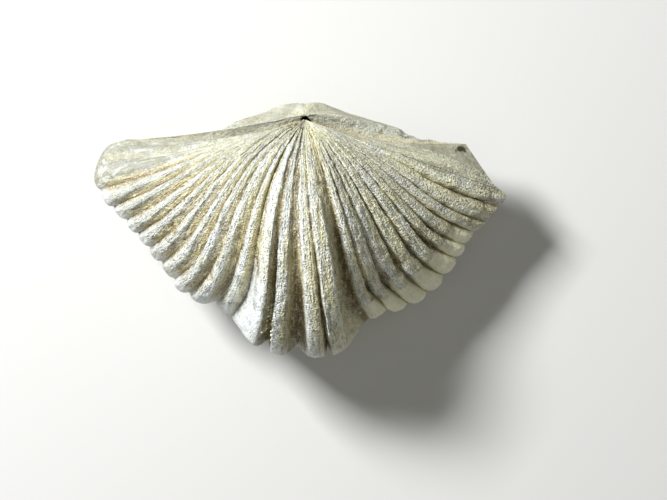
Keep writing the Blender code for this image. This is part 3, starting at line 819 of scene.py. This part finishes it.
    def close_face(self):
        """Adds the face that meets the other valve and puts the valve in its place on the ground."""
        rim, centre = self.points[:, -1], FACE_CENTRE + self.half_gap()
        even = rim.copy()
        even[: self.ribs] = smooth_valve(self.valve, self.sizes, rim_steps(), np.ones(self.ribs))
        even[: self.ribs] += self.half_gap()
        rings = []
        for share in FACE_ROWS:
            edge = even + (rim - even) * share**6
            rings.append(centre + (edge - centre) * share)
        rings.append(np.broadcast_to(centre, rim.shape))
        self.points = np.concatenate((self.points, np.stack(rings, axis=1)), axis=1) + BEAK_PLACE
        self.points[..., 2] = np.maximum(self.points[..., 2], 0.0)

    def masks(self):
        """Each mask carried on over the rows of the meeting face."""
        inner = len(FACE_ROWS) + 1
        across = AREA_FAN + self.points[:, : OUTSIDE_ROWS + 1, 0] / MM
        found = {"rib": np.where(self.on_area > 0, across, self.s), "reach": self.t}
        found.update((key, getattr(self, key)) for key in MASKS)
        return {key: np.pad(mask, ((0, 0), (0, inner)), mode="edge") for key, mask in found.items()}


def closed_skin(name, points, masks, inside_out):
    """A closed mesh over points [column, row] whose first and last rows are single corners."""
    columns, rows = points.shape[:2]
    inner = rows - 2
    corner = 1 + np.arange(columns)[:, None] * inner + np.arange(inner)[None, :]
    after = np.roll(corner, -1, axis=0)
    quads = np.stack((corner[:, :-1], corner[:, 1:], after[:, 1:], after[:, :-1]), axis=-1).reshape(-1, 4)
    last = 1 + columns * inner
    first_fan = np.stack((np.zeros(columns, int), corner[:, 0], after[:, 0]), axis=-1)
    last_fan = np.stack((np.full(columns, last), after[:, -1], corner[:, -1]), axis=-1)
    faces = quads.tolist() + first_fan.tolist() + last_fan.tolist()

    def listed(grid):
        middle = grid[:, 1:-1].reshape(columns * inner, *grid.shape[2:])
        return np.concatenate((grid[:1, 0], middle, grid[:1, -1]))

    skin = bmesh.new()
    mesh = bpy.data.meshes.new(name)
    mesh.from_pydata(listed(points), [], faces)
    skin.from_mesh(mesh)
    if inside_out:
        bmesh.ops.reverse_faces(skin, faces=skin.faces)
    skin.to_mesh(mesh)
    skin.free()
    for key, mask in masks.items():
        layer = mesh.attributes.new(key, "FLOAT", "POINT")
        layer.data.foreach_set("value", listed(mask).astype(np.float32))
    mesh.shade_smooth()
    mesh.set_sharp_from_angle(angle=SHARP_FROM)
    return mesh


def fine_valve_object(valve, sizes, material):
    """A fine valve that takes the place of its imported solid."""
    fine = FineValve(valve, sizes)
    mesh = closed_skin(valve["node"] + "_fine", fine.points, fine.masks(), valve["side"] < 0)
    mesh.materials.append(material)
    piece = bpy.data.objects.new(valve["node"] + "_fine", mesh)
    bpy.context.scene.collection.objects.link(piece)
    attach(piece, "root")
    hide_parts(valve["node"])
    return piece


# ---- Crumbs of sediment --------------------------------------------------------------------------------

CRUMBS, CRUMB_SEED = 90, 21
CRUMB_SMALLEST, CRUMB_LARGEST = 0.06 * MM, 0.20 * MM
# How far a crumb's middle stands out as a share of its radius, and how uneven its corners are.
CRUMB_OUT, CRUMB_UNEVEN = 0.35, (0.65, 1.2)
# Most crumbs lie in the fold's left groove: from and to along the rim, and from this share of the way to it.
CRUMBS_FROM, CRUMBS_TO, CRUMBS_START, CRUMBS_END = 12.18, 12.66, 0.76, 0.925
# Their weight in all the other grooves, against 1 in that heap.
ELSEWHERE = 0.0002


def crumb_weights(rib, reach, groove, ochre):
    """How likely each corner is to carry a crumb."""
    heap = smoothstep(CRUMBS_FROM, CRUMBS_FROM + 0.1, rib) * fading(CRUMBS_TO - 0.1, CRUMBS_TO, rib)
    heap *= smoothstep(CRUMBS_START, CRUMBS_START + 0.05, reach)
    heap *= fading(CRUMBS_END - 0.05, CRUMBS_END, reach)
    weight = heap + ELSEWHERE * groove**2 * ochre * smoothstep(0.5, 0.8, reach)
    weight *= fading(0.94, 0.97, reach)
    return weight / weight.sum()


def crumb_places(skin, generator):
    """Corners of a valve's fine skin in its ochre grooves, their normals, and the crumbs' radii."""
    corners = {key: np.empty(len(skin.vertices) * 3) for key in ("co", "normal")}
    for key, values in corners.items():
        skin.vertices.foreach_get(key, values)
    masks = {key: np.empty(len(skin.vertices)) for key in ("rib", "reach", "groove", "ochre")}
    for key, values in masks.items():
        skin.attributes[key].data.foreach_get("value", values)
    chosen = generator.choice(len(skin.vertices), CRUMBS, replace=False, p=crumb_weights(**masks))
    radii = generator.uniform(0, 1, CRUMBS) ** 2 * (CRUMB_LARGEST - CRUMB_SMALLEST) + CRUMB_SMALLEST
    return corners["co"].reshape(-1, 3)[chosen], corners["normal"].reshape(-1, 3)[chosen], radii


def crumbs_object(skin, material):
    """Angular crumbs of sediment, each sunk by a third into the brachial valve."""
    generator = np.random.default_rng(CRUMB_SEED)
    crumbs = bmesh.new()
    for place, normal, radius in zip(*crumb_places(skin, generator)):
        made = bmesh.ops.create_icosphere(crumbs, subdivisions=1, radius=radius)["verts"]
        middle = Vector(place + normal * radius * CRUMB_OUT)
        for corner in made:
            corner.co = corner.co * generator.uniform(*CRUMB_UNEVEN) + middle
    mesh = bpy.data.meshes.new("sediment_crumbs")
    crumbs.to_mesh(mesh)
    crumbs.free()
    mesh.materials.append(material)
    piece = bpy.data.objects.new("sediment_crumbs", mesh)
    bpy.context.scene.collection.objects.link(piece)
    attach(piece, "root")
    return piece


# ---- Materials -----------------------------------------------------------------------------------------


class Tree:
    """Short names for adding nodes to a material's or a group's node tree."""

    def __init__(self, tree):
        self.nodes, self.links = tree.nodes, tree.links

    def feed(self, socket, value):
        if isinstance(value, bpy.types.NodeSocket):
            self.links.new(value, socket)
        elif socket.type == "RGBA":
            socket.default_value = (*value, 1.0)
        else:
            socket.default_value = value

    def attribute(self, name):
        node = self.nodes.new("ShaderNodeAttribute")
        node.attribute_name = name
        return node.outputs["Fac"]

    def place(self):
        return self.nodes.new("ShaderNodeTexCoord").outputs["Object"]

    def vector(self, x, y, z=0.0):
        node = self.nodes.new("ShaderNodeCombineXYZ")
        for socket, value in zip(node.inputs, (x, y, z)):
            self.feed(socket, value)
        return node.outputs[0]

    def math(self, operation, a, b, clamp=False):
        node = self.nodes.new("ShaderNodeMath")
        node.operation, node.use_clamp = operation, clamp
        self.feed(node.inputs[0], a)
        self.feed(node.inputs[1], b)
        return node.outputs[0]

    def times(self, a, b):
        return self.math("MULTIPLY", a, b)

    def plus(self, a, b, clamp=False):
        return self.math("ADD", a, b, clamp)

    def less(self, a, b):
        return self.math("SUBTRACT", a, b)

    def without(self, mask, amount):
        """1 where the mask is 0, and less by the amount where it is 1."""
        return self.less(1.0, self.times(mask, amount))

    def noise(self, vector, scale, detail=2.0, roughness=0.55, distortion=0.0):
        node = self.nodes.new("ShaderNodeTexNoise")
        values = {"Vector": vector, "Scale": scale, "Detail": detail}
        values.update(Roughness=roughness, Distortion=distortion)
        for key, value in values.items():
            self.feed(node.inputs[key], value)
        return node.outputs["Fac"]

    def step(self, value, low, high):
        """Brings low..high to 0..1, smoothly."""
        node = self.nodes.new("ShaderNodeMapRange")
        node.interpolation_type = "SMOOTHSTEP"
        for socket, number in zip(node.inputs, (value, low, high, 0.0, 1.0)):
            self.feed(socket, number)
        return node.outputs[0]

    def mix(self, factor, a, b):
        node = self.nodes.new("ShaderNodeMix")
        node.data_type = "RGBA"
        colours = [socket for socket in node.inputs if socket.type == "RGBA"]
        self.feed(node.inputs["Factor"], factor)
        self.feed(colours[0], a)
        self.feed(colours[1], b)
        return next(socket for socket in node.outputs if socket.type == "RGBA")

    def bump(self, height, distance):
        node = self.nodes.new("ShaderNodeBump")
        node.inputs["Distance"].default_value = distance
        node.inputs["Strength"].default_value = 1.0
        self.feed(node.inputs["Height"], height)
        return node.outputs[0]

    def placed(self, group):
        """The outputs of a node group placed in this tree."""
        node = self.nodes.new("ShaderNodeGroup")
        node.node_tree = group
        return node.outputs


def node_group(name, inputs, outputs):
    """An empty shader node group with the named input values and output sockets."""
    group = bpy.data.node_groups.new(name, "ShaderNodeTree")
    for key, value in inputs.items():
        socket = group.interface.new_socket(name=key, in_out="INPUT", socket_type="NodeSocketFloat")
        socket.default_value = value
    for key in outputs:
        group.interface.new_socket(name=key, in_out="OUTPUT", socket_type="NodeSocketFloat")
    tree = Tree(group)
    given, made = tree.nodes.new("NodeGroupInput").outputs, tree.nodes.new("NodeGroupOutput").inputs
    return group, tree, given, made


# Where the drawn-out crystals come in on the way from the beak to the rim, and where the milky streaks do.
CRYSTALS_FROM, STREAKS_FROM = (0.05, 0.35), (0.10, 0.35)
BUMP_HEIGHT = 0.30 * MM
# Strengths of the material's layers of colour, from the one underneath to the one on top.
PATCHES, SILVER_CRYSTALS, SILVER_AND_HIGHLIGHT_MARKS, SILVER_AND_HIGHLIGHT_MIX, STREAKS = 0.8, 0.6, 0.6, 0.85, 0.85
OLIVE_SEDIMENT_AND_SHADE, STRIP, FLAKED, PLATE_PATCHES, PLATE, BLOCKS = 0.66, 0.85, 0.75, 0.9, 0.8, 0.85
LINES, BROWN, DARK, PIT_SHADE = 0.8, 0.8, 0.85, 0.9
# Roughness of the shell, and how much glossier its glints are.
SHELL_ROUGHNESS, GLINT_GLOSS = 0.52, 0.3
CRUMB_ROUGHNESS = 0.75


def crystal_group():
    """Crystals drawn out along the ribs: dark flecks, bright glints, patches and the grain's height."""
    inputs = {"Across": 12.0, "Along": 24.0, "Fine": 5500.0}
    outputs = ("Fleck", "Glint", "Silver", "Patch", "Height")
    group, tree, given, made = node_group("drawn_crystals", inputs, outputs)
    rib, reach = tree.attribute("rib"), tree.attribute("reach")
    across, along = tree.times(rib, given["Across"]), tree.times(reach, given["Along"])
    fibre = tree.noise(tree.vector(across, along), 1.0, 2.0, 0.6, 0.3)
    fine = tree.noise(tree.place(), given["Fine"], 1.0, 0.5)
    drawn = tree.times(tree.less(fibre, 0.5), tree.step(reach, *CRYSTALS_FROM))
    both = tree.plus(drawn, tree.plus(tree.times(fine, 0.8), 0.1))
    patch = tree.noise(tree.vector(across, along, 7.0), 0.20, 3.0, 0.65)
    tree.feed(made["Fleck"], tree.step(both, 0.43, 0.32))
    tree.feed(made["Glint"], tree.step(both, 0.55, 0.66))
    tree.feed(made["Silver"], tree.step(patch, 0.50, 0.38))
    tree.feed(made["Patch"], tree.step(patch, 0.52, 0.64))
    tree.feed(made["Height"], both)
    return group


def stain_group():
    """Ochre sediment broken up by fine grains."""
    group, tree, given, made = node_group("ochre_grains", {"Grain": 4200.0}, ("Cover", "Grain"))
    grains = tree.noise(tree.place(), given["Grain"], 3.0, 0.7)
    cover = tree.plus(tree.attribute("ochre"), tree.times(tree.less(grains, 0.5), 1.1))
    tree.feed(made["Cover"], tree.step(cover, 0.30, 0.75))
    tree.feed(made["Grain"], grains)
    return group


def skin_group():
    """Smooth shell: clouds of warmer colour and milky streaks that run from the beak."""
    inputs = {"Cloud": 650.0, "Streak": 2.6}
    group, tree, given, made = node_group("skin_clouds", inputs, ("Cloud", "Streak", "Height"))
    cloud = tree.noise(tree.place(), given["Cloud"], 5.0, 0.68, 0.4)
    along = tree.vector(tree.attribute("rib"), tree.times(tree.attribute("reach"), 3.2), 3.0)
    streak = tree.step(tree.noise(along, given["Streak"], 4.0, 0.62, 0.5), 0.50, 0.66)
    tree.feed(made["Cloud"], tree.step(cloud, 0.38, 0.64))
    tree.feed(made["Streak"], tree.times(streak, tree.step(tree.attribute("reach"), *STREAKS_FROM)))
    tree.feed(made["Height"], cloud)
    return group


def shell_material(name, colours, groups):
    """Weathered calcite: crystalline ribs, smooth ears, sediment and stains, dark grooves that are partly
    painted shade, painted glints, and painted highlights on the lit flanks.
    """
    material = bpy.data.materials.new(name)
    material.use_nodes = True
    tree = Tree(material.node_tree)
    shader = tree.nodes["Principled BSDF"]
    crystals, ochre, skin = (tree.placed(groups[key]) for key in ("crystals", "ochre", "skin"))
    mask = {key: tree.attribute(key) for key in MASKS}
    rough = tree.less(1.0, mask["smooth"])

    clear = tree.without(mask["ochre"], 0.55)
    patches = tree.times(tree.times(crystals["Patch"], clear), PATCHES)
    colour = tree.mix(patches, colours.pearl, colours.grey)
    # Silvery crystals and the painted highlights on the lit flanks, mixed towards bluish white.
    silver = tree.times(tree.times(crystals["Silver"], clear), SILVER_CRYSTALS)
    silver = tree.plus(silver, tree.times(mask["silver"], SILVER_AND_HIGHLIGHT_MARKS), clamp=True)
    colour = tree.mix(tree.times(silver, SILVER_AND_HIGHLIGHT_MIX), colour, colours.clean)
    plain = tree.mix(skin["Cloud"], colours.cream, colours.beige)
    plain = tree.mix(tree.times(skin["Streak"], STREAKS), plain, colours.milk)
    colour = tree.mix(mask["smooth"], colour, plain)

    cover = tree.times(ochre["Cover"], tree.plus(tree.times(rough, 0.70), 0.2))
    colour = tree.mix(tree.times(cover, tree.without(silver, 0.8)), colour, colours.ochre)
    # Olive down the grooves by their depth: sediment lodged there, and painted warm shade.
    deep = tree.math("POWER", mask["groove"], 1.5)
    colour = tree.mix(tree.times(deep, OLIVE_SEDIMENT_AND_SHADE), colour, colours.olive)
    colour = tree.mix(tree.times(mask["strip"], STRIP), colour, colours.tan)
    colour = tree.mix(tree.times(mask["flake"], FLAKED), colour, colours.beige)
    plate = tree.mix(tree.times(crystals["Patch"], PLATE_PATCHES), colours.clean, colours.grey)
    colour = tree.mix(tree.times(mask["plate"], PLATE), colour, plate)
    block = tree.times(mask["block"], tree.step(mask["groove"], 0.85, 0.45))
    colour = tree.mix(tree.times(block, BLOCKS), colour, colours.straw)

    fleck = tree.times(crystals["Fleck"], tree.plus(tree.times(rough, 0.55), 0.15))
    colour = tree.mix(tree.times(fleck, tree.without(mask["ochre"], 0.4)), colour, colours.fleck)
    # Thin dark lines, with painted shade in the creases of the grooves.
    colour = tree.mix(tree.times(mask["line"], LINES), colour, colours.fleck)
    colour = tree.mix(tree.times(mask["brown"], BROWN), colour, colours.brown)
    # Dark sediment and painted shade in grooves, hollows and pits, broken up by the grains.
    shade = tree.plus(mask["dark"], tree.times(tree.less(ochre["Grain"], 0.5), 0.9))
    colour = tree.mix(tree.times(tree.step(shade, 0.25, 0.85), DARK), colour, colours.dark)
    # Painted glints: bright specks mixed into the base colour, white where the shell is silvery or painted as
    # lit, straw on the sediment.
    glint_strength = tree.plus(tree.times(silver, 0.38), 0.56)
    glint = tree.times(crystals["Glint"], tree.plus(tree.times(rough, glint_strength), 0.16))
    bright = tree.mix(silver, colours.straw, colours.glint)
    colour = tree.mix(tree.times(glint, tree.without(mask["dark"], 0.7)), colour, bright)
    # Painted shade at the bottoms of the pits.
    colour = tree.mix(tree.times(mask["black"], PIT_SHADE), colour, colours.black)

    height = tree.times(crystals["Height"], tree.plus(tree.times(rough, 0.85), 0.15))
    height = tree.plus(height, tree.times(tree.times(skin["Height"], mask["smooth"]), 0.5))
    tree.feed(shader.inputs["Base Color"], colour)
    tree.feed(shader.inputs["Roughness"], tree.less(SHELL_ROUGHNESS, tree.times(glint, GLINT_GLOSS)))
    tree.feed(shader.inputs["Normal"], tree.bump(height, BUMP_HEIGHT))
    return material


def crumb_material(colours):
    """Dull sediment of mixed light and darker ochre."""
    material = bpy.data.materials.new("sediment_crumbs")
    material.use_nodes = True
    tree = Tree(material.node_tree)
    shader = tree.nodes["Principled BSDF"]
    shade = tree.step(tree.noise(tree.place(), 2500.0), 0.35, 0.65)
    tree.feed(shader.inputs["Base Color"], tree.mix(shade, colours.ochre, colours.straw))
    tree.feed(shader.inputs["Roughness"], CRUMB_ROUGHNESS)
    return material


# ---- Sizes, colours, operators and panel ---------------------------------------------------------------


class FossilSizes(bpy.types.PropertyGroup):
    """The sizes that shape the valves"""

    rib_depth: bpy.props.FloatProperty(
        name="Rib depth", description="Depth of the grooves as a share of the ribs' spacing", default=0.40
    )
    fold_rise: bpy.props.FloatProperty(
        name="Fold rise", description="Height of the fold at the front", default=4.2 * MM, unit="LENGTH"
    )
    seam_gap: bpy.props.FloatProperty(
        name="Seam", description="Width of the seam between the valves", default=0.08 * MM, unit="LENGTH"
    )


def colour_choice(name, description, colour):
    """A colour that the panel lists."""
    return bpy.props.FloatVectorProperty(
        name=name, description=description, default=colour, subtype="COLOR", size=3
    )


class FossilColours(bpy.types.PropertyGroup):
    """The colours of the shell, its sediment and the floor"""

    pearl: colour_choice("Pearl", "Clean, pearly shell", (0.76, 0.77, 0.65))
    grey: colour_choice("Grey", "Greyer patches of shell", (0.44, 0.45, 0.40))
    cream: colour_choice("Cream", "Smooth shell on the ears and beaks", (0.33, 0.34, 0.30))
    beige: colour_choice("Beige", "Warmer clouds in the smooth shell", (0.29, 0.285, 0.21))
    milk: colour_choice("Milk", "Milky streaks in the smooth shell", (0.66, 0.69, 0.64))
    # Bluish white also paints the highlights on the lit flanks and crests.
    clean: colour_choice("Clean plate", "Bluish white plate on the fold", (0.80, 0.86, 0.88))
    ochre: colour_choice("Ochre", "Sediment left on the ribs", (0.69, 0.665, 0.42))
    # Olive also paints warm shade down the grooves.
    olive: colour_choice("Olive", "Sediment in the grooves", (0.41, 0.29, 0.085))
    tan: colour_choice("Tan", "Strip of paler shell along the back edge", (0.60, 0.56, 0.385))
    fleck: colour_choice("Fleck", "Dark flecks between crystals", (0.11, 0.105, 0.085))
    # Straw also colours the glints painted on the sediment.
    straw: colour_choice("Straw", "Bright grains in the sediment", (0.93, 0.92, 0.68))
    # Colour of the glints painted into the shell.
    glint: colour_choice("Glint", "Bright crystal faces", (0.93, 0.95, 0.95))
    # Brown also paints the shadow along the ridge beside the delthyrium.
    brown: colour_choice("Brown", "Brown stains", (0.26, 0.16, 0.06))
    # Dark sediment in the grooves, and the painted shade in grooves, hollows and pits.
    dark: colour_choice("Groove", "Dark sediment in the grooves", (0.14, 0.10, 0.03))
    # Near black paints the shade at the bottoms of the pits.
    black: colour_choice("Pit", "Bottoms of the pits", (0.020, 0.020, 0.012))
    floor: colour_choice("Floor", "Pale floor under the fossil", (0.70, 0.70, 0.69))


class FOSSIL_OT_valves(bpy.types.Operator):
    """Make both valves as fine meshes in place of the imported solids"""

    bl_idname = "fossil.valves"
    bl_label = "Add valves"

    def execute(self, context):
        scene = context.scene
        groups = {"crystals": crystal_group(), "ochre": stain_group(), "skin": skin_group()}
        for valve in (BRACHIAL, PEDICLE):
            material = shell_material(valve["node"] + "_calcite", scene.fossil_colours, groups)
            fine_valve_object(valve, scene.fossil_sizes, material)
        return {"FINISHED"}


class FOSSIL_OT_crumbs(bpy.types.Operator):
    """Scatter crumbs of sediment in the grooves of the brachial valve"""

    bl_idname = "fossil.crumbs"
    bl_label = "Add crumbs"

    def execute(self, context):
        skin = bpy.data.objects[BRACHIAL["node"] + "_fine"].data
        crumbs_object(skin, crumb_material(context.scene.fossil_colours))
        return {"FINISHED"}


CAMERA_DISTANCE = 0.34
SENSOR_WIDTH = 36.0
# The width of the camera's frame at the middle of the shell, and the place at its centre.
FRAME_WIDTH = 61.36 * MM
FRAME_CENTRE = Vector((3.095, -1.86, 9.0)) * MM
FLOOR_SIZE, FLOOR_ROUGHNESS = 1.2, 0.9
# Each lamp's direction from the shell, distance and size in metres, and power in watts.
LAMPS = {
    "key": ((-0.55, 0.44, 0.72), 0.26, 0.07, 1.06),
    "fill": ((0.1, -0.3, 1.0), 0.60, 0.6, 0.50),
}
SHELL_MIDDLE = Vector((0, 0, 0.009))
STUDIO_COLOUR, STUDIO_STRENGTH = (1.0, 0.99, 0.88, 1.0), 0.12


class FOSSIL_OT_stage(bpy.types.Operator):
    """Add the floor, the lights and the camera"""

    bl_idname = "fossil.stage"
    bl_label = "Add stage"

    def execute(self, context):
        scene = context.scene
        self.floor(scene.fossil_colours.floor)
        self.camera(scene)
        for name, values in LAMPS.items():
            self.lamp(scene, name, *values)
        world = bpy.data.worlds.new("studio")
        world.use_nodes = True
        background = world.node_tree.nodes["Background"]
        background.inputs["Color"].default_value = STUDIO_COLOUR
        background.inputs["Strength"].default_value = STUDIO_STRENGTH
        scene.world = world
        scene.view_settings.view_transform = "Standard"
        return {"FINISHED"}

    def floor(self, colour):
        bpy.ops.mesh.primitive_plane_add(size=FLOOR_SIZE, location=(0, 0, 0))
        floor = bpy.context.object
        floor.name = "floor"
        material = bpy.data.materials.new("pale_floor")
        material.use_nodes = True
        shader = material.node_tree.nodes["Principled BSDF"]
        shader.inputs["Base Color"].default_value = (*colour, 1.0)
        shader.inputs["Roughness"].default_value = FLOOR_ROUGHNESS
        floor.data.materials.append(material)

    def camera(self, scene):
        camera = bpy.data.cameras.new("camera")
        camera.sensor_width = SENSOR_WIDTH
        camera.lens = SENSOR_WIDTH * CAMERA_DISTANCE / FRAME_WIDTH
        camera.clip_start, camera.clip_end = 0.01, 10.0
        holder = bpy.data.objects.new("camera", camera)
        holder.location = FRAME_CENTRE + Vector((0, 0, CAMERA_DISTANCE))
        scene.collection.objects.link(holder)
        scene.camera = holder

    def lamp(self, scene, name, direction, distance, size, power):
        light = bpy.data.lights.new(name, "AREA")
        light.size, light.energy = size, power
        lamp = bpy.data.objects.new(name, light)
        away = Vector(direction).normalized()
        lamp.location = SHELL_MIDDLE + away * distance
        lamp.rotation_euler = away.to_track_quat("Z", "Y").to_euler()
        scene.collection.objects.link(lamp)


class FOSSIL_PT_panel(bpy.types.Panel):
    """Lists the fossil's operators and sizes"""

    bl_idname = "FOSSIL_PT_panel"
    bl_label = "Brachiopod fossil"
    bl_space_type = "VIEW_3D"
    bl_region_type = "UI"
    bl_category = "Fossil"

    def draw(self, context):
        for operator in OPERATORS:
            self.layout.operator(operator.bl_idname)
        for group in (context.scene.fossil_sizes, context.scene.fossil_colours):
            for key in group.__annotations__:
                self.layout.prop(group, key)


OPERATORS = (FOSSIL_OT_valves, FOSSIL_OT_crumbs, FOSSIL_OT_stage)
CLASSES = (FossilSizes, FossilColours, *OPERATORS, FOSSIL_PT_panel)


def register():
    for part in CLASSES:
        bpy.utils.register_class(part)
    bpy.types.Scene.fossil_sizes = bpy.props.PointerProperty(type=FossilSizes)
    bpy.types.Scene.fossil_colours = bpy.props.PointerProperty(type=FossilColours)


def unregister():
    del bpy.types.Scene.fossil_sizes
    del bpy.types.Scene.fossil_colours
    for part in reversed(CLASSES):
        bpy.utils.unregister_class(part)


def main():
    register()
    bpy.ops.fossil.valves()
    bpy.ops.fossil.crumbs()
    bpy.ops.fossil.stage()


if __name__ == "__main__":
    main()
